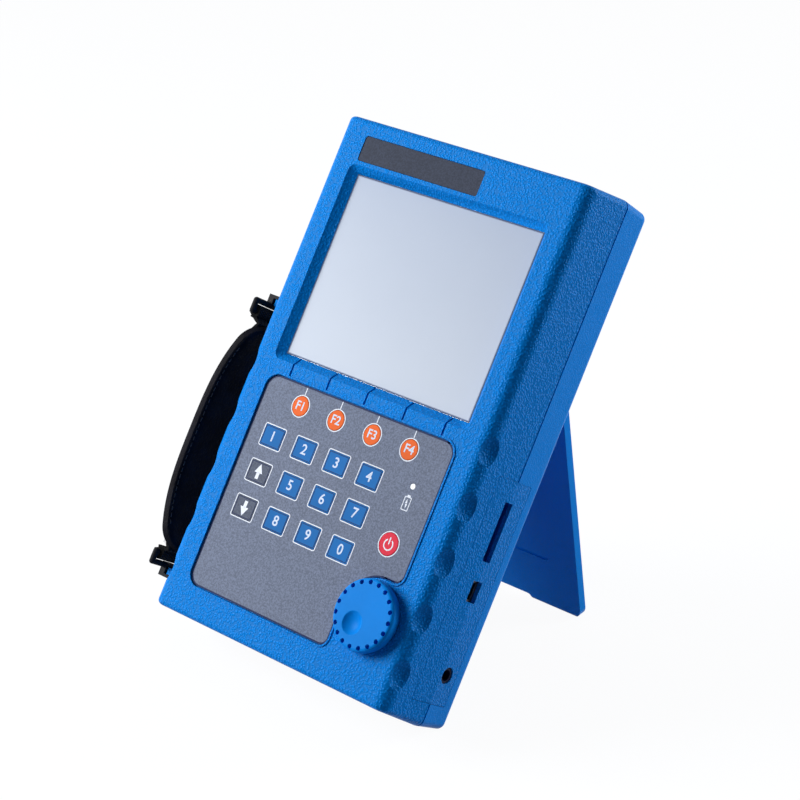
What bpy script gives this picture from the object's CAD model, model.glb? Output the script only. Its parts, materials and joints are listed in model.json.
"""The looks of a hand-held ultrasonic flaw detector that leans back on its open stand."""

import json
import math

import bpy
from bpy.props import FloatProperty, FloatVectorProperty, PointerProperty
from mathutils import Matrix, Vector

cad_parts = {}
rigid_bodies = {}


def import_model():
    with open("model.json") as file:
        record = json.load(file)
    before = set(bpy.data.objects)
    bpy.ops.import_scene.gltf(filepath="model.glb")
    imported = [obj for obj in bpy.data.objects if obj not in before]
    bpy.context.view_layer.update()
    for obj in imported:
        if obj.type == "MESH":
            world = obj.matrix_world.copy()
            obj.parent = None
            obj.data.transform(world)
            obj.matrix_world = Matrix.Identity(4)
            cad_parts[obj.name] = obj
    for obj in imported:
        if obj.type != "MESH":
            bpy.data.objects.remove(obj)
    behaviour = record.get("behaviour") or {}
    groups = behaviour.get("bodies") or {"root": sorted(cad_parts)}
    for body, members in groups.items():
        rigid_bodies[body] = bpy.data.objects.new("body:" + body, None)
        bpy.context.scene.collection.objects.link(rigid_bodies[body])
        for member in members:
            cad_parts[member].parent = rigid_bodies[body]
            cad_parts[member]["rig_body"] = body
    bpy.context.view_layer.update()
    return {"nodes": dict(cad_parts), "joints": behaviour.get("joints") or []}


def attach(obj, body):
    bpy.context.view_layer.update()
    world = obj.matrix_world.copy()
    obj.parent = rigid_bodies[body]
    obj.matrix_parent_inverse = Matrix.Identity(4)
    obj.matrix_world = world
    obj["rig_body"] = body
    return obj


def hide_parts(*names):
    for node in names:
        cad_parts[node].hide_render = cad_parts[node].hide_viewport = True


bl_info = {
    "name": "Flaw Detector Looks",
    "version": (1, 0, 0),
    "blender": (4, 5, 0),
    "location": "3D View > Sidebar > Detector",
    "description": "Dresses the packed flaw detector in its materials, legends, strap and stage",
    "category": "Object",
}

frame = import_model()
JOINTS = {joint["name"]: joint for joint in frame["joints"]}
MM = 0.001

# How near two corners of a CAD mesh are merged, in metres, and how flat a face is, in degrees
MERGED = 0.000002
FLAT = 0.3

# The case's own upright frame: X right, Y back from the front face, Z up along the case, in metres
PIN_PLACE = Vector((0, 47.7, 190)) * MM
PRESS = Vector(JOINTS["power_key_press"]["axis"])
LEAN = math.atan2(-PRESS.z, PRESS.y)
TILT = Matrix.Rotation(-LEAN, 4, "X")
LEANED = Matrix.Translation(Vector(JOINTS["kickstand_hinge"]["pos_m"]) - TILT @ PIN_PLACE) @ TILT

# The screen opening in the case's frame, in millimetres: left, low, right and high edge; depth
SCREEN = (-59.8, 138, 59.8, 233.1)
SCREEN_DEPTH = 4

# Places on the keypad, in millimetres in the case's frame
PLATE_FRONT = 0.5
PLATE_TOP_Z = 126.7
KEY_FRONT = 0.35
KEY_HALF = (6.65, 5.25)
KEY_GAP = 0.15
KEY_ROWS = (
    ("key_top_1", "key_top_2", "key_top_3", "key_top_4"),
    ("key_arrow_up", "key_middle_2", "key_middle_3", "key_middle_4"),
    ("key_arrow_down", "key_bottom_2", "key_bottom_3", "key_bottom_4"),
)
KEY_FIRST = (-45.0, 97.4)
KEY_PITCH = (21.55, 18.45)
ROUND_KEY_R = 5.05
FUNCTION_KEYS = 4
FUNCTION_KEY_PITCH = 23.85
FUNCTION_KEY_Z = 116.4
POWER_PLACE = (45.1, 72.1)
POWER_R = 5.6
LED_PLACE = (45.8, 101.1)

# The keypad's print, in millimetres
FRAME_CORNER = 1.2
EDGE_INSET = 0.5
EDGE_CORNER = 0.6
EDGE_LINE = 0.35
RIM_LINE = 0.8
RIM_TOLERANCE = 0.05
HOLE_REACH = (8, 7)
DIGIT_SIZE = 7.2
FUNCTION_SIGN_SIZE = 6.2
LEADER_GAP = 0.6
ARROW_SHAFT = (1.0, 1.7)
ARROW_HEAD_R = 3.0
ARROW_HEAD_RISE = 1.2
POWER_ARC_R = 2.9
POWER_ARC_LINE = 0.65
POWER_ARC_DROP = 0.3
POWER_ARC_CUT = 1.6
POWER_BAR = (0.33, 1.7)
POWER_BAR_RISE = 1.6
CELL_DROP = 8.5
CELL_HALF = (2.1, 3.4)
CELL_CORNER = 0.5
CELL_LINE = 0.45
CELL_TIP = (0.9, 0.4)
CELL_TIP_RISE = 3.8
BOLT_STEP = (0.25, 0.6)
BOLT_R = 1.0
BOLT_STRETCH = (0.7, 1, 1.5)
INK_T = 0.06
BOLD = 0.1

# The strap, in millimetres in the case's frame
LUG_X = 89.9
LUG_Y = 22
LUG_LOW_Z = 14.75
LUG_HIGH_Z = 160
PAD_LOW = 25.25
PAD_HIGH = 147
PAD_BULGE = 12.8
PAD_POWER = 3
PAD_T = 4
PAD_HALF = 17
PAD_CORNER = 10
PAD_STEPS = (96, 28)
PAD_STEP = 0.5
PAD_SLACK = 0.3
PAD_THINNER = 0.5
PAD_ROUND = 0.9
HEM_INSET = 2.4
HEM_WIDTH = 0.8
HEM_DEPTH = 0.45
SWELL_REACH = 5
SWELL = 0.25
FACE_LIFT = 0.9
WEBBING_HALF = 11
WEBBING_T = 2.2
WEBBING_STEPS = 4
WEBBING_SLACK = 0.25
WEBBING_THINNER = 0.35
WEBBING_ROUND = 0.45
ROD_X = 96.2
ROD_R = 1.5
ROD_DROP = 7.55
SEWN_LEN = 22
SEWN_GAP = 0.1
SEWN_STEPS = 14
SPAN_SHARES = (0.34, 0.67)
WRAP_ENTRY = 0.6
WRAP_STEPS = 20
WRAP_STEP_ANGLE = 15
STITCH_PITCH = 3.4
STITCH_LEN = 2.3
STITCH_R = 0.3
STITCH_ROUND = 0.7
STITCH_END = 2
STITCH_SINK = 0.35
BOX_INSET = 2.0
BOX_PAD_INSET = 3.0
BOX_SINK = 0.05
BOX_HALF = 8.6
BOX_END_PITCH = 3.45
BOX_END_COUNT = 5
RIVET_Z = 121.5
RIVET_R = 1.6
RIVET_T = 1.4
RIVET_SINK = 0.3
RIVET_INSET = 5
RIVET_ROUND = 0.6

# The weave of the webbing, in metres
RIB_PITCH = 0.0016
YARN_PITCH = 0.0014

# The studio, in metres: each lamp's name, place, size and power in watts
LAMPS = (
    ("left_softbox", (-0.98, -0.80, 0.70), 0.8, 31),
    ("right_softbox", (0.88, 1.14, 0.40), 0.6, 18),
    ("top_softbox", (-0.3, 0.5, 1.6), 1.2, 5),
)
LAMP_TARGET = (0, 0, 0.12)
SKY_COLOUR = (0.6, 0.78, 1.0, 1)
SKY_STRENGTH = 0.08
FLOOR_SIZE = 24
FLOOR_STEPS = 24
FLOOR_COLOUR = (0.38, 0.42, 0.48)
FLOOR_GLOW = 1.1
FLOOR_WHITE_SHARE = 0.86

FACING_FRONT = (math.radians(90), 0, 0)


def key_place(column, row):
    """The middle of a rectangular key, X and Z, in millimetres."""
    return KEY_FIRST[0] + column * KEY_PITCH[0], KEY_FIRST[1] - row * KEY_PITCH[1]


def function_key_x(index):
    """How far a function key is from the middle, in millimetres."""
    return (index - (FUNCTION_KEYS - 1) / 2) * FUNCTION_KEY_PITCH


def pad_reach(z):
    """How far the pad's outer face is from the middle of the case at a height, in millimetres."""
    share = (z - PAD_LOW) / (PAD_HIGH - PAD_LOW)
    return LUG_X + PAD_BULGE * (1 - min(abs(2 * share - 1), 1) ** PAD_POWER)


class Value:
    """A number that varies over a material; Python's operators add the Math nodes."""

    def __init__(self, finish, socket):
        self.finish = finish
        self.socket = socket

    def maths(self, operation, *others):
        """One Math node that starts from this number."""
        return self.finish.maths(operation, self, *others)

    def __add__(self, other):
        return self.maths("ADD", other)

    def __rsub__(self, other):
        return self.finish.maths("SUBTRACT", other, self)

    def __mul__(self, other):
        return self.maths("MULTIPLY", other)

    def between(self, low, high):
        """0 below low, 1 above high and smooth in between."""
        node = self.finish.node("ShaderNodeMapRange", {"interpolation_type": "SMOOTHSTEP"}, {
            "Value": self, "From Min": low, "From Max": high})
        return Value(self.finish, node.outputs["Result"])

    __radd__ = __add__


class Finish:
    """One procedural material, built up node by node."""

    def __init__(self, name, colour, roughness=0.5, **plain):
        self.material = bpy.data.materials.new(name)
        self.material.use_nodes = True
        self.tree = self.material.node_tree
        self.shader = self.tree.nodes["Principled BSDF"]
        self.shader.inputs["Base Color"].default_value = (*colour, 1)
        self.shader.inputs["Roughness"].default_value = roughness
        for socket, value in plain.items():
            self.shader.inputs[socket.replace("_", " ")].default_value = value

    def node(self, kind, settings=None, inputs=None):
        """Adds a node with its settings, and feeds its inputs."""
        made = self.tree.nodes.new(kind)
        for setting, value in (settings or {}).items():
            setattr(made, setting, value)
        for socket, value in (inputs or {}).items():
            self.feed(made.inputs[socket], value)
        return made

    def feed(self, socket, value):
        """Links a varying value to a socket, or sets a plain one."""
        if isinstance(value, Value):
            value = value.socket
        if isinstance(value, bpy.types.NodeSocket):
            self.tree.links.new(value, socket)
        else:
            socket.default_value = value

    def maths(self, operation, *values):
        """One Math node over several numbers."""
        made = self.node("ShaderNodeMath", {"operation": operation}, dict(enumerate(values)))
        return Value(self, made.outputs[0])

    def place(self):
        """Object coordinates."""
        return self.node("ShaderNodeTexCoord").outputs["Object"]

    def along(self, axis):
        """The distance along one axis of the case's own upright frame, in metres."""
        turned = self.node("ShaderNodeMapping", {"vector_type": "POINT"}, {
            "Vector": self.place(), "Rotation": (LEAN, 0, 0)})
        split = self.node("ShaderNodeSeparateXYZ", None, {"Vector": turned.outputs[0]})
        return Value(self, split.outputs[axis])

    def noise(self, size, detail=2.0, roughness=0.5, at=None):
        """A soft noise whose lumps have about one size, in metres."""
        made = self.node("ShaderNodeTexNoise", None, {
            "Vector": at or self.place(), "Scale": 1 / size, "Detail": detail,
            "Roughness": roughness})
        return Value(self, made.outputs["Fac"])

    def cells(self, size, at, distance="EUCLIDEAN"):
        """How far a place is from the middle of its cell."""
        made = self.node("ShaderNodeTexVoronoi", {"feature": "F1", "distance": distance}, {
            "Vector": at, "Scale": 1 / size})
        return Value(self, made.outputs["Distance"])

    def stirred(self, size, amount):
        """Object coordinates pushed about by a noise, so that a pattern has no straight lines."""
        push = self.node("ShaderNodeTexNoise", None, {
            "Vector": self.place(), "Scale": 1 / size, "Detail": 2.0})
        scaled = self.node("ShaderNodeVectorMath", {"operation": "MULTIPLY_ADD"}, {
            0: push.outputs["Color"], 1: (amount,) * 3, 2: self.place()})
        return scaled.outputs[0]

    def mix(self, share, first, second):
        """Blends two colours."""
        made = self.node("ShaderNodeMix", {"data_type": "RGBA"}, {"Factor": share})
        self.feed(made.inputs[6], first)
        self.feed(made.inputs[7], second)
        return made.outputs[2]

    def colour(self, share, first, second):
        """Lets the base colour vary between two colours."""
        self.feed(self.shader.inputs["Base Color"], self.mix(share, (*first, 1), (*second, 1)))
        return self

    def rough(self, value):
        """Lets the roughness vary."""
        self.feed(self.shader.inputs["Roughness"], value)
        return self

    def bump(self, height, depth):
        """Raises the surface by a height from 0 to 1, times a depth in metres."""
        made = self.node("ShaderNodeBump", None, {"Height": height, "Distance": depth})
        self.feed(self.shader.inputs["Normal"], made.outputs[0])
        return self


def shade(colour, factor):
    """A colour made lighter or darker."""
    return tuple(min(1.0, channel * factor) for channel in colour)


def grained_plastic(name, colour, size, depth, crease=0.78):
    """Moulded plastic with a leather grain: round pebbles with narrow, darker creases between."""
    roughness = 0.36
    finish = Finish(name, colour, roughness, Specular_IOR_Level=0.055,
                    Specular_Tint=(0.45, 0.88, 1.0, 1))
    stirred = finish.stirred(size * 2.5, amount=size * 0.9)
    pebbles = (1 - finish.cells(size, stirred)).between(0.3, 0.85)
    fine = finish.noise(size * 0.35)
    height = pebbles + fine * 0.2
    finish.colour(pebbles, shade(colour, crease), shade(colour, 1.1))
    finish.rough(roughness - pebbles * 0.12)
    return finish.bump(height, depth).material


def finer_grain(name, look, size, depth, crease):
    """The case's plastic, with a share of its grain's size and depth."""
    return grained_plastic(name, look.colour, look.grain * size, look.grain_depth * depth, crease)


def fine_plastic(name, colour, size=0.0006, depth=0.00003, roughness=0.45, **plain):
    """Moulded plastic with a fine spark-eroded skin and faint clouding."""
    finish = Finish(name, colour, roughness, **{"Specular_IOR_Level": 0.08, **plain})
    speckle = finish.noise(size, detail=3.0)
    cloud = finish.noise(0.03)
    finish.colour(cloud.between(0.3, 0.7), shade(colour, 0.94), shade(colour, 1.06))
    finish.rough(speckle * 0.12 + (roughness - 0.06))
    return finish.bump(speckle, depth).material


def speckled_film(name, colour):
    """Printed keypad film, with a fine sandy texture."""
    finish = Finish(name, colour, roughness=0.42, Specular_IOR_Level=0.03)
    sand = finish.noise(0.0009, detail=4.0, roughness=0.7)
    cloud = finish.noise(0.012, detail=3.0)
    finish.colour(sand.between(0.38, 0.62) * 0.8 + cloud * 0.2, shade(colour, 0.72),
                  shade(colour, 1.28))
    finish.rough(sand * 0.2 + 0.32)
    return finish.bump(sand, depth=0.00004).material


def screen_glass(name, colour, far):
    """The anti-glare lens over the blank display: pale, and darker towards its far corner."""
    finish = Finish(name, colour, roughness=0.45, Coat_Weight=0.02, Coat_Roughness=0.1,
                    Specular_IOR_Level=0.05)
    slope = finish.along("Z") + finish.along("X") * 0.25
    veil = finish.noise(0.05)
    finish.colour(slope.between(0.06, 0.26) * 0.85 + veil * 0.15, colour, far)
    return finish.bump(finish.noise(0.0004), depth=0.000004).material


def leather(name, colour):
    """Smooth black leather with fine creases and a slight sheen."""
    finish = Finish(name, colour, roughness=0.42, Specular_IOR_Level=0.025)
    stirred = finish.stirred(0.004, amount=0.002)
    pores = finish.cells(0.0012, stirred)
    folds = finish.noise(0.012, detail=3.0)
    finish.colour(folds.between(0.35, 0.7), colour, shade(colour, 2.2))
    finish.rough(0.36 + pores * 0.2 + folds * 0.1)
    return finish.bump(pores.between(0.1, 0.6) * 0.6 + folds, depth=0.00015).material


def woven(name, colour, length, width):
    """Webbing with ribs across it, laid out on the band's own map of its length and width."""
    finish = Finish(name, colour, roughness=0.8, Specular_IOR_Level=0.1)
    map_node = finish.node("ShaderNodeUVMap", {"uv_map": "UVMap"})
    split = finish.node("ShaderNodeSeparateXYZ", None, {"Vector": map_node.outputs[0]})
    along = Value(finish, split.outputs["X"]) * (length / RIB_PITCH)
    across = Value(finish, split.outputs["Y"]) * (width / YARN_PITCH)
    ribs = (along * (2 * math.pi) + across.maths("FLOOR") * math.pi).maths("SINE") * 0.5 + 0.5
    yarns = (across * math.pi).maths("SINE").maths("ABSOLUTE")
    weave = ribs * yarns
    finish.colour(weave, shade(colour, 0.35), shade(colour, 1.5))
    finish.rough(0.9 - weave * 0.15)
    return finish.bump(weave, depth=0.0003).material


def brushed_metal(name, colour, roughness=0.3):
    """Metal with fine scratches along it and slight tarnish."""
    finish = Finish(name, colour, roughness, Metallic=1.0)
    stretched = finish.node("ShaderNodeMapping", None, {
        "Vector": finish.place(), "Scale": (1, 1, 0.08)})
    scratches = finish.noise(0.0003, at=stretched.outputs[0])
    tarnish = finish.noise(0.01, detail=3.0)
    finish.colour(tarnish.between(0.35, 0.75), shade(colour, 0.8), colour)
    finish.rough(scratches * 0.2 + (roughness - 0.08))
    return finish.bump(scratches, depth=0.00001).material


def painted_metal(name, colour):
    """Black lacquer, a little worn to the metal in spots."""
    finish = Finish(name, colour, roughness=0.35, Specular_IOR_Level=0.03)
    chips = finish.noise(0.0015, detail=4.0, roughness=0.6).between(0.70, 0.75)
    finish.colour(chips, colour, (0.28, 0.27, 0.26))
    finish.feed(finish.shader.inputs["Metallic"], chips)
    finish.rough(0.34 + finish.noise(0.0008) * 0.15)
    return finish.bump(finish.noise(0.001, detail=3.0), depth=0.00003).material


def circuit_board(name, colour):
    """Green solder mask with copper tracks showing through it."""
    finish = Finish(name, colour, roughness=0.35)
    tracks = finish.cells(0.006, finish.place(), distance="MANHATTAN").between(0.30, 0.34)
    finish.colour(tracks, colour, shade(colour, 2.0))
    finish.rough(0.3 + finish.noise(0.002) * 0.15)
    return finish.bump(tracks, depth=0.00003).material


def ink(name, colour):
    """Screen-printed ink, slightly uneven at its surface."""
    finish = Finish(name, colour, roughness=0.5, Specular_IOR_Level=0.08)
    grit = finish.noise(0.0004)
    finish.colour(grit, shade(colour, 0.93), colour)
    return finish.rough(grit * 0.15 + 0.42).material


def deselected():
    """Leaves edit mode and deselects everything."""
    if bpy.context.mode != "OBJECT":
        bpy.ops.object.mode_set(mode="OBJECT")
    bpy.ops.object.select_all(action="DESELECT")


def alone(obj):
    """Makes one object the only selected one, and the active one, in object mode."""
    deselected()
    obj.select_set(True)
    bpy.context.view_layer.objects.active = obj


def edited(obj):
    """Opens one object in edit mode."""
    alone(obj)
    bpy.ops.object.mode_set(mode="EDIT")


def newest():
    """The object that the last operator has made, which is the active one."""
    return bpy.context.view_layer.objects.active


def settled(obj):
    """Puts an object's place into its mesh, and stands it in the leaned case's frame."""
    obj.matrix_basis = LEANED @ obj.matrix_basis
    alone(obj)
    bpy.ops.object.transform_apply(location=True, rotation=True, scale=True)


def finished(obj, name, body, material, angle=35):
    """Names a piece, gives it its material, smooths it and lets it ride on its body."""
    alone(obj)
    obj.name = name
    obj.data.name = name
    obj.data.materials.clear()
    obj.data.materials.append(material)
    bpy.ops.object.shade_smooth_by_angle(angle=math.radians(angle))
    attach(obj, body)


def modifier(obj, kind, **settings):
    """Adds one modifier with its settings and applies it."""
    alone(obj)
    bpy.ops.object.modifier_add(type=kind)
    added = obj.modifiers[-1]
    for setting, value in settings.items():
        setattr(added, setting, value)
    bpy.ops.object.modifier_apply(modifier=added.name)


def rounded(obj, width, segments, limit):
    """Breaks the edges sharper than a limit, in degrees, by a small round."""
    modifier(obj, "BEVEL", width=width, segments=segments, limit_method="ANGLE",
             angle_limit=math.radians(limit))


def delete_faces(obj, wanted):
    """Deletes the faces whose middle passes a test."""
    edited(obj)
    bpy.ops.mesh.select_mode(type="FACE")
    bpy.ops.mesh.select_all(action="DESELECT")
    bpy.ops.object.mode_set(mode="OBJECT")
    for face in obj.data.polygons:
        face.select = wanted(face.center)
    bpy.ops.object.mode_set(mode="EDIT")
    bpy.ops.mesh.delete(type="FACE")
    bpy.ops.object.mode_set(mode="OBJECT")


def paint(node, material):
    """Gives a CAD node its material."""
    obj = frame["nodes"][node]
    obj.data.materials.clear()
    obj.data.materials.append(material)


def merged_copy(node, name):
    """A copy of a CAD node with its loose triangles merged, all selected and left in edit mode."""
    copy = bpy.data.objects.new(name, frame["nodes"][node].data.copy())
    bpy.context.scene.collection.objects.link(copy)
    edited(copy)
    bpy.ops.mesh.select_all(action="SELECT")
    bpy.ops.mesh.remove_doubles(threshold=MERGED)
    return copy


def skin(node, material, width=0.0, limit=40, segments=2, angle=35):
    """A merged copy of a CAD node that stands for it, with its edges broken by a small round."""
    copy = merged_copy(node, node + "_skin")
    if width:
        bpy.ops.mesh.dissolve_limited(angle_limit=math.radians(FLAT))
        rounded(copy, width, segments, limit)
    finished(copy, node + "_skin", frame["nodes"][node]["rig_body"], material, angle)
    modifier(copy, "WEIGHTED_NORMAL", keep_sharp=True, weight=100)
    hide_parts(node)


def front_plate(x, z, half_x, half_z, corner=0.0):
    """A flat sheet that faces the front, its corners rounded, in millimetres; left in edit mode."""
    deselected()
    bpy.ops.mesh.primitive_plane_add(size=2, location=(x * MM, 0, z * MM), rotation=FACING_FRONT)
    obj = newest()
    obj.scale = (half_x * MM, half_z * MM, 1)
    bpy.ops.object.transform_apply(location=False, rotation=False, scale=True)
    bpy.ops.object.mode_set(mode="EDIT")
    if corner:
        bpy.ops.mesh.bevel(offset=corner * MM, segments=5, affect="VERTICES")
    return obj


def front_disc(x, z, r, corners=48, turn=0.0):
    """A flat disc or even-sided sheet that faces the front, in millimetres; left in edit mode."""
    deselected()
    bpy.ops.mesh.primitive_circle_add(
        vertices=corners, radius=r * MM, fill_type="NGON", location=(x * MM, 0, z * MM),
        rotation=(math.radians(90), math.radians(turn), 0))
    obj = newest()
    bpy.ops.object.mode_set(mode="EDIT")
    return obj


def opened(line):
    """Turns the sheet in edit mode into an outline as wide as a printed line."""
    bpy.ops.mesh.select_mode(type="FACE")
    bpy.ops.mesh.select_all(action="SELECT")
    bpy.ops.mesh.inset(thickness=line * MM)
    bpy.ops.mesh.delete(type="FACE")


def printed(obj, name, y, body, material):
    """Gives a flat sheet the trace of thickness of ink, and lays it on a face at a depth."""
    modifier(obj, "SOLIDIFY", thickness=INK_T * MM, offset=0)
    obj.location.y = y * MM
    settled(obj)
    finished(obj, name, body, material)


def printed_outline(obj, line, name, y, body, material):
    """Prints the outline of the flat sheet in edit mode on a face at a depth."""
    opened(line)
    printed(obj, name, y, body, material)


def joined(*objects):
    """Joins several pieces into the first."""
    deselected()
    for obj in objects:
        obj.select_set(True)
    bpy.context.view_layer.objects.active = objects[0]
    bpy.context.view_layer.update()
    bpy.ops.object.join()
    return objects[0]


def printed_text(name, text, x, z, size, y, body, material):
    """Printed characters, centred on a place on a face at a depth."""
    deselected()
    bpy.ops.object.text_add(location=(x * MM, y * MM, z * MM), rotation=FACING_FRONT)
    obj = newest()
    obj.data.body = text
    obj.data.align_x = "CENTER"
    obj.data.align_y = "CENTER"
    obj.data.size = size * MM
    obj.data.offset = BOLD * MM
    obj.data.extrude = INK_T * MM / 2
    obj.data.resolution_u = 6
    alone(obj)
    bpy.ops.object.convert(target="MESH")
    obj = newest()
    settled(obj)
    finished(obj, name, body, material)


def pad_frame(z):
    """The pad's outer face at a height: its place, and the unit step outwards, both as X and Z."""
    back, ahead = (Vector((-pad_reach(near), near)) for near in (z - PAD_STEP, z + PAD_STEP))
    along = (ahead - back).normalized()
    return Vector((-pad_reach(z), z)), Vector((-along.y, along.x))


class CaseLook(bpy.types.PropertyGroup):
    """What a user may change on the case."""

    colour: FloatVectorProperty(name="Case colour", description="Colour of the moulded shells",
                                subtype="COLOR", default=(0.0006, 0.19, 0.635))
    grain: FloatProperty(name="Grain", description="Size of one pebble of the leather grain",
                         unit="LENGTH", default=0.00115)
    grain_depth: FloatProperty(name="Grain depth", description="Height of the leather grain",
                               unit="LENGTH", default=0.0002)


class KeypadLook(bpy.types.PropertyGroup):
    """What a user may change on the keypad."""

    film: FloatVectorProperty(name="Film colour", description="Colour of the keypad's film",
                              subtype="COLOR", default=(0.14, 0.165, 0.232))
    blue: FloatVectorProperty(name="Blue keys", description="Colour of the numbered keys",
                              subtype="COLOR", default=(0.008, 0.125, 0.38))
    orange: FloatVectorProperty(name="Function keys",
                                description="Colour of the round function keys",
                                subtype="COLOR", default=(0.72, 0.125, 0.025))
    red: FloatVectorProperty(name="Power key", description="Colour of the power key",
                             subtype="COLOR", default=(0.66, 0.03, 0.06))
    line: FloatProperty(name="Line width",
                        description="Width of the printed frames, in millimetres", default=0.5)


class StrapLook(bpy.types.PropertyGroup):
    """What a user may change on the strap."""

    leather: FloatVectorProperty(name="Leather", description="Colour of the strap's pad",
                                 subtype="COLOR", default=(0.004, 0.004, 0.006))
    webbing: FloatVectorProperty(name="Webbing", description="Colour of the strap's webbing",
                                 subtype="COLOR", default=(0.012, 0.0125, 0.015))
    thread: FloatVectorProperty(name="Thread", description="Colour of the stitches",
                                subtype="COLOR", default=(0.05, 0.05, 0.06))


class StageLook(bpy.types.PropertyGroup):
    """What a user may change on the camera."""

    camera: FloatVectorProperty(name="Camera",
                                description="Place of the camera in the upright case's own frame",
                                subtype="TRANSLATION", default=(0.76378, -0.94431, 0.11724))
    azimuth: FloatProperty(name="Azimuth",
                           description="How far the camera is to the right of the front",
                           default=42.84)
    elevation: FloatProperty(name="Elevation", description="How far the camera looks down",
                             default=24.52)
    lens: FloatProperty(name="Lens", description="Focal length in millimetres", default=114.86)


def white_rays(tree, path):
    """1 for the rays that see the white background: the camera's, gloss and through glass."""
    seen = path.outputs["Is Camera Ray"]
    for kind in ("Is Glossy Ray", "Is Transmission Ray"):
        more = tree.nodes.new("ShaderNodeMath")
        more.operation = "MAXIMUM"
        tree.links.new(seen, more.inputs[0])
        tree.links.new(path.outputs[kind], more.inputs[1])
        seen = more.outputs[0]
    return seen


class DETECTOR_OT_stage(bpy.types.Operator):
    """Sets the camera, the lamps, the world and the floor."""

    bl_idname = "detector.stage"
    bl_label = "Stage"

    def execute(self, context):
        look = context.scene.detector_stage
        scene = context.scene
        scene.view_settings.view_transform = "Standard"
        camera = bpy.data.objects.new("camera", bpy.data.cameras.new("camera"))
        scene.collection.objects.link(camera)
        camera.data.lens = look.lens
        camera.data.sensor_width = 36
        camera.data.clip_start = 0.01
        camera.data.clip_end = 50
        camera.location = LEANED @ Vector(look.camera)
        camera.rotation_euler = (math.radians(90 - look.elevation), 0, math.radians(look.azimuth))
        scene.camera = camera
        self.lamps()
        self.world(scene)
        self.floor()
        return {"FINISHED"}

    def lamps(self):
        target = Vector(LAMP_TARGET)
        for name, place, size, power in LAMPS:
            light = bpy.data.lights.new(name, "AREA")
            light.shape = "SQUARE"
            light.size = size
            light.energy = power
            lamp = bpy.data.objects.new(name, light)
            bpy.context.scene.collection.objects.link(lamp)
            lamp.location = place
            lamp.rotation_euler = (target - lamp.location).to_track_quat("-Z", "Y").to_euler()

    def world(self, scene):
        world = bpy.data.worlds.new("studio")
        scene.world = world
        world.use_nodes = True
        tree = world.node_tree
        sky = tree.nodes["Background"]
        sky.inputs["Color"].default_value = SKY_COLOUR
        sky.inputs["Strength"].default_value = SKY_STRENGTH
        plain = tree.nodes.new("ShaderNodeBackground")
        plain.inputs["Strength"].default_value = 1.0
        path = tree.nodes.new("ShaderNodeLightPath")
        mix = tree.nodes.new("ShaderNodeMixShader")
        tree.links.new(white_rays(tree, path), mix.inputs[0])
        tree.links.new(sky.outputs[0], mix.inputs[1])
        tree.links.new(plain.outputs[0], mix.inputs[2])
        tree.links.new(mix.outputs[0], tree.nodes["World Output"].inputs["Surface"])

    def floor(self):
        bpy.ops.mesh.primitive_grid_add(x_subdivisions=FLOOR_STEPS, y_subdivisions=FLOOR_STEPS,
                                        size=FLOOR_SIZE, location=(0, 0, 0))
        floor = newest()
        floor.name = "floor"
        finish = Finish("floor_paper", FLOOR_COLOUR, roughness=0.9)
        finish.bump(finish.noise(0.01), depth=0.00002)
        glow = finish.node("ShaderNodeEmission", None, {"Strength": FLOOR_GLOW})
        path = finish.node("ShaderNodeLightPath")
        share = Value(finish, white_rays(finish.tree, path)) * FLOOR_WHITE_SHARE
        mix = finish.node("ShaderNodeMixShader", None, {
            0: share, 1: finish.shader.outputs[0], 2: glow.outputs[0]})
        output = finish.tree.nodes["Material Output"]
        finish.tree.links.new(mix.outputs[0], output.inputs["Surface"])
        floor.data.materials.append(finish.material)


class DETECTOR_OT_shells(bpy.types.Operator):
    """Finishes the shells, the port cover, the gasket, the label plate and the screws."""

    bl_idname = "detector.shells"
    bl_label = "Shells"

    def execute(self, context):
        look = context.scene.detector_case
        colour = look.colour
        grained = grained_plastic("case_grain", colour, look.grain, look.grain_depth)
        smoother = finer_grain("rear_grain", look, size=0.7, depth=0.3, crease=0.93)
        skin("front_shell", grained, width=0.0005, limit=42, angle=60)
        skin("rear_shell", smoother, width=0.0003, limit=42)
        skin("side_port_cover", grained, width=0.00015, limit=50)
        paint("shell_gasket", fine_plastic("gasket_rubber", shade(colour, 0.45), roughness=0.7))
        skin("label_plate", speckled_film("label_film", (0.036, 0.044, 0.068)), width=0.0002)
        paint("case_screws", brushed_metal("screw_steel", (0.55, 0.55, 0.57)))
        return {"FINISHED"}


class DETECTOR_OT_screen(bpy.types.Operator):
    """Finishes the lens and the display behind it."""

    bl_idname = "detector.screen"
    bl_label = "Screen"

    def execute(self, context):
        glass = screen_glass("screen_lens_glass", (0.555, 0.60, 0.67), (0.347, 0.40, 0.507))
        skin("screen_lens", glass, width=0.0004)
        mask = ink("lens_mask_ink", (0.08, 0.11, 0.19))
        self.border("lens_mask", mask, inset=0.15, line=0.6)
        edge = ink("lens_edge_ink", (0.30, 0.35, 0.45))
        self.border("lens_edge", edge, inset=0.75, line=0.35)
        paint("lcd_panel", brushed_metal("panel_metal", (0.6, 0.62, 0.66)))
        paint("lcd_bracket", brushed_metal("bracket_metal", (0.7, 0.7, 0.72)))
        return {"FINISHED"}

    def border(self, name, material, inset, line):
        """A printed line round the lens, at an inset from the screen opening."""
        x, z = (SCREEN[0] + SCREEN[2]) / 2, (SCREEN[1] + SCREEN[3]) / 2
        sheet = front_plate(x, z, SCREEN[2] - x - inset, SCREEN[3] - z - inset)
        printed_outline(sheet, line, name, SCREEN_DEPTH, "case", material)


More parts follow.
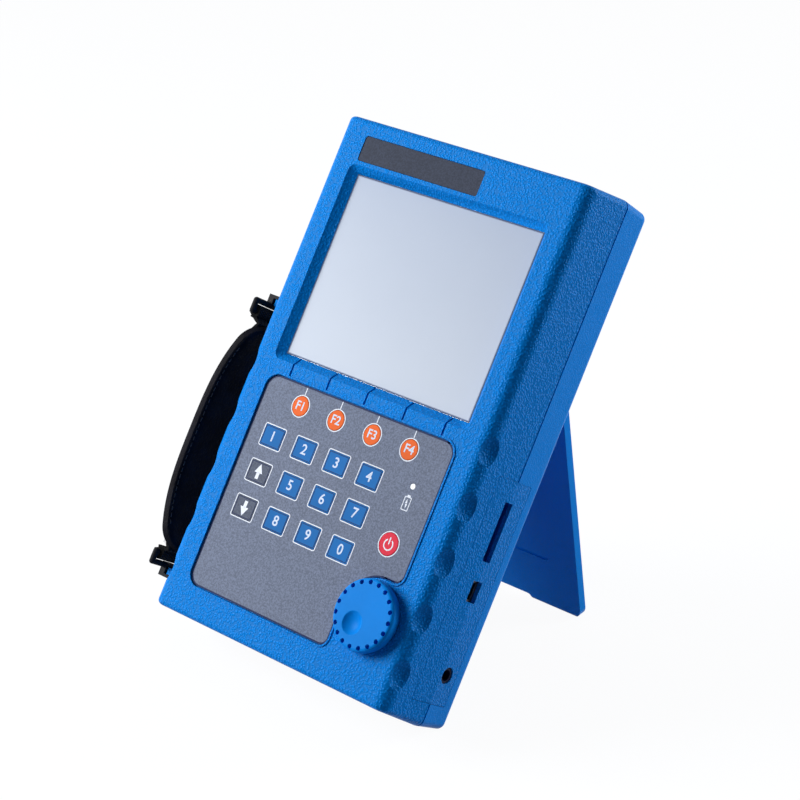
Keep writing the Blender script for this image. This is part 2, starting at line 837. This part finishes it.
class DETECTOR_OT_keypad(bpy.types.Operator):
    """Finishes the keypad's film and keys, and prints their frames and signs."""

    bl_idname = "detector.keypad"
    bl_label = "Keypad"

    def execute(self, context):
        look = context.scene.detector_keypad
        self.line = look.line
        self.white = ink("white_ink", (0.74, 0.78, 0.86))
        film = speckled_film("keypad_film", look.film)
        self.sign = ink("sign_ink", (0.58, 0.66, 0.80))
        self.rim = ink("key_rim_ink", (0.004, 0.015, 0.07))
        blue, orange, red = (
            fine_plastic(f"{name}_key_skin", getattr(look, name), roughness=roughness,
                         Specular_IOR_Level=0.03)
            for name, roughness in (("blue", 0.4), ("orange", 0.4), ("red", 0.35)))
        arrow_film = speckled_film("arrow_key_film", shade(look.film, 0.6))
        skin("keypad_overlay", film, width=0.0003, limit=60)
        self.film_rim()
        paint("keypad_board", circuit_board("keypad_board_mask", (0.02, 0.14, 0.05)))
        digit = 0
        for row, names in enumerate(KEY_ROWS):
            for column, name in enumerate(names):
                x, z = key_place(column, row)
                arrow = name.startswith("key_arrow")
                self.key(name, arrow_film if arrow else blue)
                self.frame(name, x, z)
                self.edge(name, x, z)
                if arrow:
                    self.arrow(f"sign_{name}", x, z, 1 if name.endswith("up") else -1, name)
                else:
                    digit = (digit + 1) % 10
                    printed_text(f"sign_{name}", str(digit), x, z, DIGIT_SIZE, KEY_FRONT, name,
                                 self.sign)
        for index in range(FUNCTION_KEYS):
            self.function_key(index, orange)
        self.power_key(red)
        self.charge_sign()
        lamp = fine_plastic("led_lens", (0.85, 0.88, 0.9), roughness=0.2, Emission_Strength=0.35,
                            Emission_Color=(1, 1, 1, 1))
        skin("status_led", lamp, width=0.0003, limit=60)
        return {"FINISHED"}

    def key(self, name, material):
        """A key with a soft round on its edges."""
        skin(name, material, width=0.0005, limit=60, segments=3)

    def film_rim(self):
        """The dark line along the film's rim, cut from the front of a copy of the film."""
        obj = merged_copy("keypad_overlay", "film_rim")
        upright = LEANED.inverted()

        def off_front(middle):
            return abs((upright @ middle).y - PLATE_FRONT * MM) > RIM_TOLERANCE * MM

        delete_faces(obj, off_front)
        edited(obj)
        opened(RIM_LINE)
        delete_faces(obj, lambda middle: self.by_a_key((upright @ middle) / MM))
        modifier(obj, "SOLIDIFY", thickness=INK_T * MM, offset=0)
        finished(obj, "film_rim", "case", self.rim)

    def by_a_key(self, place):
        """Whether a place on the film is at the rim of a key's hole or the lamp's."""
        keys = [key_place(column, row) for row, names in enumerate(KEY_ROWS)
                for column in range(len(names))]
        keys += [(function_key_x(index), FUNCTION_KEY_Z) for index in range(FUNCTION_KEYS)]
        keys += [POWER_PLACE, LED_PLACE]
        return any(abs(place.x - x) < HOLE_REACH[0] and abs(place.z - z) < HOLE_REACH[1]
                   for x, z in keys)

    def frame(self, name, x, z):
        """The printed frame round a rectangular key."""
        reach = KEY_GAP + self.line
        sheet = front_plate(x, z, KEY_HALF[0] + reach, KEY_HALF[1] + reach, FRAME_CORNER)
        printed_outline(sheet, self.line, f"frame_{name}", PLATE_FRONT, "case", self.white)

    def edge(self, name, x, z):
        """The dark line printed just inside the rim of a rectangular key."""
        sheet = front_plate(x, z, KEY_HALF[0] - EDGE_INSET, KEY_HALF[1] - EDGE_INSET, EDGE_CORNER)
        printed_outline(sheet, EDGE_LINE, f"edge_{name}", KEY_FRONT, name, self.rim)

    def ring(self, name, x, z, r):
        """The printed ring round a round key."""
        sheet = front_disc(x, z, r + KEY_GAP + self.line)
        printed_outline(sheet, self.line, f"frame_{name}", PLATE_FRONT, "case", self.white)

    def bar(self, name, x, z, half_x, half_z, y, body):
        """A short printed bar."""
        printed(front_plate(x, z, half_x, half_z), name, y, body, self.white)

    def arrow(self, name, x, z, way, body):
        """A printed arrow that points up or down."""
        shaft = front_plate(x, z - way * ARROW_SHAFT[1], *ARROW_SHAFT)
        head = front_disc(x, z + way * ARROW_HEAD_RISE, ARROW_HEAD_R, corners=3,
                          turn=0 if way > 0 else 180)
        printed(joined(head, shaft), name, KEY_FRONT, body, self.white)

    def function_key(self, index, material):
        """A round key with its ring, its sign and the line that leads up to the screen."""
        name = f"function_key_{index + 1}"
        x, z = function_key_x(index), FUNCTION_KEY_Z
        self.key(name, material)
        self.ring(name, x, z, ROUND_KEY_R)
        low, high = z + ROUND_KEY_R + KEY_GAP + self.line / 2, PLATE_TOP_Z - LEADER_GAP
        self.bar(f"leader_{name}", x, (low + high) / 2, self.line / 2, (high - low) / 2,
                 PLATE_FRONT, "case")
        printed_text(f"sign_{name}", f"F{index + 1}", x, z, FUNCTION_SIGN_SIZE, KEY_FRONT, name,
                     self.sign)

    def power_key(self, material):
        """The power key with its ring and sign."""
        x, z = POWER_PLACE
        self.key("power_key", material)
        self.ring("power_key", x, z, POWER_R)
        arc = front_disc(x, z - POWER_ARC_DROP, POWER_ARC_R)
        opened(POWER_ARC_LINE)
        delete_faces(arc, lambda middle: middle.y > abs(middle.x) * POWER_ARC_CUT)
        printed(arc, "sign_power_arc", KEY_FRONT, "power_key", self.white)
        self.bar("sign_power_bar", x, z + POWER_BAR_RISE, *POWER_BAR, KEY_FRONT, "power_key")

    def charge_sign(self):
        """A small battery with a bolt, under the lamp."""
        x, z = LED_PLACE
        z -= CELL_DROP
        cell = front_plate(x, z, *CELL_HALF, CELL_CORNER)
        printed_outline(cell, CELL_LINE, "sign_cell", PLATE_FRONT, "case", self.white)
        self.bar("sign_cell_tip", x, z + CELL_TIP_RISE, *CELL_TIP, PLATE_FRONT, "case")
        upper = front_disc(x - BOLT_STEP[0], z + BOLT_STEP[1], BOLT_R, corners=3)
        lower = front_disc(x + BOLT_STEP[0], z - BOLT_STEP[1], BOLT_R, corners=3, turn=180)
        bolt = joined(upper, lower)
        edited(bolt)
        bpy.ops.mesh.select_all(action="SELECT")
        bpy.ops.transform.resize(value=BOLT_STRETCH, center_override=(x * MM, 0, z * MM))
        printed(bolt, "sign_cell_bolt", PLATE_FRONT, "case", self.white)


class DETECTOR_OT_knob(bpy.types.Operator):
    """Finishes the jog knob."""

    bl_idname = "detector.knob"
    bl_label = "Knob"

    def execute(self, context):
        colour = context.scene.detector_case.colour
        satin = fine_plastic("knob_satin", colour, size=0.0016, depth=0.00004, roughness=0.4,
                             Specular_IOR_Level=0.05, Specular_Tint=(0.5, 0.8, 1.0, 1))
        skin("jog_knob", satin, width=0.0002, limit=50)
        paint("knob_shaft", brushed_metal("shaft_steel", (0.6, 0.6, 0.62)))
        paint("rotary_encoder", brushed_metal("encoder_metal", (0.55, 0.55, 0.56)))
        return {"FINISHED"}


class DETECTOR_OT_ports(bpy.types.Operator):
    """Finishes the connectors behind the side cover and on the top end."""

    bl_idname = "detector.ports"
    bl_label = "Ports"

    def execute(self, context):
        black = fine_plastic("connector_black", (0.004, 0.008, 0.03), roughness=0.4)
        navy = fine_plastic("connector_navy", (0.002, 0.035, 0.22), roughness=0.4)
        plated = brushed_metal("connector_plate", (0.12, 0.12, 0.13))
        chrome = brushed_metal("socket_chrome", (0.8, 0.8, 0.82), roughness=0.18)
        paint("card_connector", navy)
        paint("data_connector", plated)
        paint("power_jack", black)
        paint("probe_socket_left", chrome)
        paint("probe_socket_right", chrome)
        return {"FINISHED"}


class DETECTOR_OT_inside(bpy.types.Operator):
    """Finishes the pieces inside the case."""

    bl_idname = "detector.inside"
    bl_label = "Inside"

    def execute(self, context):
        board = circuit_board("main_board_mask", (0.02, 0.14, 0.05))
        tin = brushed_metal("shield_tin", (0.7, 0.7, 0.7), roughness=0.35)
        paint("main_board", board)
        paint("port_board", board)
        paint("pulser_shield", tin)
        paint("buzzer", fine_plastic("buzzer_black", (0.01, 0.01, 0.012)))
        paint("battery_pack", fine_plastic("battery_wrap", (0.03, 0.10, 0.30), roughness=0.25))
        return {"FINISHED"}


class DETECTOR_OT_stand(bpy.types.Operator):
    """Finishes the hinged stand and its pin."""

    bl_idname = "detector.stand"
    bl_label = "Stand"

    def execute(self, context):
        look = context.scene.detector_case
        satin = finer_grain("stand_grain", look, size=0.6, depth=0.12, crease=0.96)
        skin("kickstand", satin, width=0.0004, limit=50)
        paint("kickstand_pin", brushed_metal("pin_steel", (0.6, 0.6, 0.62)))
        return {"FINISHED"}


def band_strip(route, half):
    """A strip of even width along a route of X and Z places, made from a grid, in millimetres."""
    deselected()
    rows = len(route) - 1
    bpy.ops.mesh.primitive_grid_add(x_subdivisions=rows, y_subdivisions=WEBBING_STEPS, size=2)
    obj = newest()
    for vertex in obj.data.vertices:
        row = round((vertex.co.x + 1) / 2 * rows)
        across = vertex.co.y * half
        vertex.co = Vector((route[row].x, LUG_Y + across, route[row].y)) * MM
    return obj


def band_length(route):
    """The length of a route, in millimetres."""
    return sum((second - first).length for first, second in zip(route, route[1:]))


class DETECTOR_OT_strap(bpy.types.Operator):
    """Makes the padded hand strap, its hem and stitches, its webbing and its metal."""

    bl_idname = "detector.strap"
    bl_label = "Strap"

    def execute(self, context):
        look = context.scene.detector_strap
        hide = leather("strap_leather", look.leather)
        self.thread = ink("strap_thread", look.thread)
        black = painted_metal("hook_lacquer", (0.015, 0.015, 0.017))
        self.pad(hide)
        self.pad_stitches()
        for end, lug_z, pad_end, toward in (("upper", LUG_HIGH_Z, PAD_HIGH, -1),
                                            ("lower", LUG_LOW_Z, PAD_LOW, 1)):
            self.webbing(end, lug_z, pad_end, toward, look.webbing)
            skin(f"strap_hook_{end}", black, width=0.0003, limit=50)
        self.rivet(brushed_metal("rivet_metal", (0.75, 0.74, 0.72), roughness=0.25))
        skin("strap_ring", brushed_metal("ring_chrome", (0.75, 0.75, 0.77), roughness=0.2))
        return {"FINISHED"}

    def pad(self, material):
        """A leather pad with round ends, fuller in the middle than at its hem."""
        deselected()
        bpy.ops.mesh.primitive_grid_add(x_subdivisions=PAD_STEPS[0], y_subdivisions=PAD_STEPS[1],
                                        size=2)
        obj = newest()
        length = PAD_HIGH - PAD_LOW - 2 * PAD_SLACK
        middle = (PAD_HIGH + PAD_LOW) / 2
        for vertex in obj.data.vertices:
            z = middle + vertex.co.x * length / 2
            end = length / 2 - abs(z - middle)
            cut = PAD_CORNER - math.sqrt(PAD_CORNER ** 2 - max(PAD_CORNER - end, 0) ** 2)
            across = vertex.co.y * (PAD_HALF - PAD_SLACK - cut)
            place, out = pad_frame(z)
            place -= out * PAD_T / 2
            vertex.co = Vector((place.x, LUG_Y + across, place.y)) * MM
        modifier(obj, "SOLIDIFY", thickness=(PAD_T - PAD_THINNER) * MM, offset=0)
        rounded(obj, PAD_ROUND * MM, segments=3, limit=50)
        self.hem(obj)
        settled(obj)
        finished(obj, "strap_pad_skin", "strap", material, angle=50)
        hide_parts("strap_pad")

    def hem(self, obj):
        """Presses a stitched channel along the pad's rim and lets the padding swell inside it."""
        for vertex in obj.data.vertices:
            x, y, z = vertex.co / MM
            place, out = pad_frame(min(max(z, PAD_LOW + PAD_STEP), PAD_HIGH - PAD_STEP))
            across = abs(y - LUG_Y)
            end = min(z - PAD_LOW, PAD_HIGH - z)
            corner = PAD_CORNER - math.hypot(max(PAD_CORNER - end, 0),
                                             max(across - PAD_HALF + PAD_CORNER, 0))
            by_corner = end < PAD_CORNER and across > PAD_HALF - PAD_CORNER
            inside = corner if by_corner else min(PAD_HALF - across, end)
            groove = math.exp(-((inside - HEM_INSET) / HEM_WIDTH) ** 2)
            swell = min(max((inside - HEM_INSET) / SWELL_REACH, 0), 1)
            rise = SWELL * math.sin(swell * math.pi / 2) - HEM_DEPTH * groove
            lift = (Vector((x, z)) - (place - out * PAD_T / 2)).dot(out)
            side = math.copysign(1, lift) if abs(lift) > FACE_LIFT else 0
            vertex.co += Vector((out.x, 0, out.y)) * (rise * side * MM)

    def pad_stitches(self):
        """Rows of short stitches in the channel along both long sides, on both faces."""
        low = PAD_LOW + PAD_CORNER + STITCH_END
        high = PAD_HIGH - PAD_CORNER - STITCH_END
        count = int((high - low) / STITCH_PITCH)
        places = []
        for lift in (-STITCH_SINK, STITCH_SINK - PAD_T):
            for side in (-1, 1):
                y = LUG_Y + side * (PAD_HALF - HEM_INSET)
                for i in range(count + 1):
                    place, out = pad_frame(low + i * STITCH_PITCH)
                    places.append((place + out * lift, y, out, 0))
        self.stitches("pad_stitches", places)

    def stitches(self, name, places):
        """One rounded stitch, copied to each place, along the strap (0) or across it (1)."""
        deselected()
        bpy.ops.mesh.primitive_cylinder_add(vertices=6, radius=STITCH_R * MM, depth=STITCH_LEN * MM)
        first = newest()
        rounded(first, STITCH_R * STITCH_ROUND * MM, segments=2, limit=80)
        copies = []
        for place, y, out, across in places:
            copy = bpy.data.objects.new(name, first.data.copy())
            bpy.context.scene.collection.objects.link(copy)
            lean = Matrix.Rotation(math.atan2(out.x, out.y) + math.radians(90), 4, "Y")
            spin = lean @ Matrix.Rotation(math.radians(90 * across), 4, "X")
            copy.matrix_basis = Matrix.Translation((place.x * MM, y * MM, place.y * MM)) @ spin
            copies.append(copy)
        bpy.data.objects.remove(first)
        obj = joined(*copies)
        settled(obj)
        finished(obj, name, "strap", self.thread, angle=60)

    def webbing(self, end, lug_z, pad_end, toward, colour):
        """A band of webbing, sewn to the pad's outer face and wrapped round the hook's rod."""
        rod = Vector((-ROD_X, lug_z + toward * ROD_DROP))
        start = pad_end + toward * SEWN_LEN
        lift = WEBBING_T / 2 + SEWN_GAP
        route = []
        for i in range(SEWN_STEPS + 1):
            z = start + (pad_end - start) * i / SEWN_STEPS
            route.append(Vector((-pad_reach(z) - lift, z)))
        reach = ROD_R + SEWN_GAP + WEBBING_T / 2
        entry = rod + Vector((-reach, toward * WRAP_ENTRY))
        route += [route[-1].lerp(entry, share) for share in SPAN_SHARES]
        route.append(entry)
        for step in range(WRAP_STEPS + 1):
            turn = math.radians(WRAP_STEP_ANGLE * step)
            route.append(rod + Vector((-math.cos(turn), -toward * math.sin(turn))) * reach)
        obj = band_strip(route, WEBBING_HALF - WEBBING_SLACK)
        modifier(obj, "SOLIDIFY", thickness=(WEBBING_T - WEBBING_THINNER) * MM, offset=0)
        rounded(obj, WEBBING_ROUND * MM, segments=2, limit=60)
        settled(obj)
        material = woven(f"webbing_weave_{end}", colour, band_length(route) * MM,
                         2 * WEBBING_HALF * MM)
        finished(obj, f"strap_webbing_{end}_skin", "strap", material, angle=50)
        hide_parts(f"strap_webbing_{end}")
        self.webbing_stitches(end, start, pad_end, toward)

    def webbing_stitches(self, end, start, pad_end, toward):
        """A sewn box on the webbing where it lies on the pad."""
        places = []
        lift = WEBBING_T - BOX_SINK
        low, high = start - toward * BOX_INSET, pad_end + toward * BOX_PAD_INSET
        rows = int(abs(low - high) / STITCH_PITCH)
        for i in range(rows + 1):
            z = low + (high - low) * i / rows
            place, out = pad_frame(z)
            for side in (-1, 1):
                places.append((place + out * lift, LUG_Y + side * BOX_HALF, out, 0))
        for z in (low, high):
            place, out = pad_frame(z)
            for i in range(BOX_END_COUNT):
                y = LUG_Y + (i - (BOX_END_COUNT - 1) / 2) * BOX_END_PITCH
                places.append((place + out * lift, y, out, 1))
        self.stitches(f"webbing_stitches_{end}", places)

    def rivet(self, material):
        """A small domed rivet in the pad's outer face."""
        place, out = pad_frame(RIVET_Z)
        seat = place - out * RIVET_SINK
        y = LUG_Y - PAD_HALF + RIVET_INSET
        turn = math.atan2(out.x, out.y)
        deselected()
        bpy.ops.mesh.primitive_cylinder_add(
            vertices=24, radius=RIVET_R * MM, depth=RIVET_T * MM,
            location=(seat.x * MM, y * MM, seat.y * MM), rotation=(0, turn, 0))
        obj = newest()
        rounded(obj, RIVET_ROUND * MM, segments=4, limit=60)
        settled(obj)
        finished(obj, "strap_rivet", "strap", material)


class DETECTOR_PT_panel(bpy.types.Panel):
    """Lists the detector's pieces in the 3D view's sidebar."""

    bl_label = "Flaw detector"
    bl_idname = "DETECTOR_PT_panel"
    bl_space_type = "VIEW_3D"
    bl_region_type = "UI"
    bl_category = "Detector"

    def draw(self, context):
        for operator in OPERATORS:
            self.layout.operator(operator.bl_idname)
        for group, look in LOOKS.items():
            for name in look.__annotations__:
                self.layout.prop(getattr(context.scene, group), name)


LOOKS = {
    "detector_case": CaseLook,
    "detector_keypad": KeypadLook,
    "detector_strap": StrapLook,
    "detector_stage": StageLook,
}
OPERATORS = (
    DETECTOR_OT_stage,
    DETECTOR_OT_shells,
    DETECTOR_OT_screen,
    DETECTOR_OT_keypad,
    DETECTOR_OT_knob,
    DETECTOR_OT_ports,
    DETECTOR_OT_inside,
    DETECTOR_OT_stand,
    DETECTOR_OT_strap,
)


def register():
    for group, look in LOOKS.items():
        bpy.utils.register_class(look)
        setattr(bpy.types.Scene, group, PointerProperty(type=look))
    for cls in (*OPERATORS, DETECTOR_PT_panel):
        bpy.utils.register_class(cls)


def unregister():
    for cls in reversed((*OPERATORS, DETECTOR_PT_panel)):
        bpy.utils.unregister_class(cls)
    for group, look in LOOKS.items():
        delattr(bpy.types.Scene, group)
        bpy.utils.unregister_class(look)


def main():
    register()
    bpy.ops.detector.stage()
    bpy.ops.detector.shells()
    bpy.ops.detector.screen()
    bpy.ops.detector.keypad()
    bpy.ops.detector.knob()
    bpy.ops.detector.ports()
    bpy.ops.detector.inside()
    bpy.ops.detector.stand()
    bpy.ops.detector.strap()


if __name__ == "__main__":
    main()
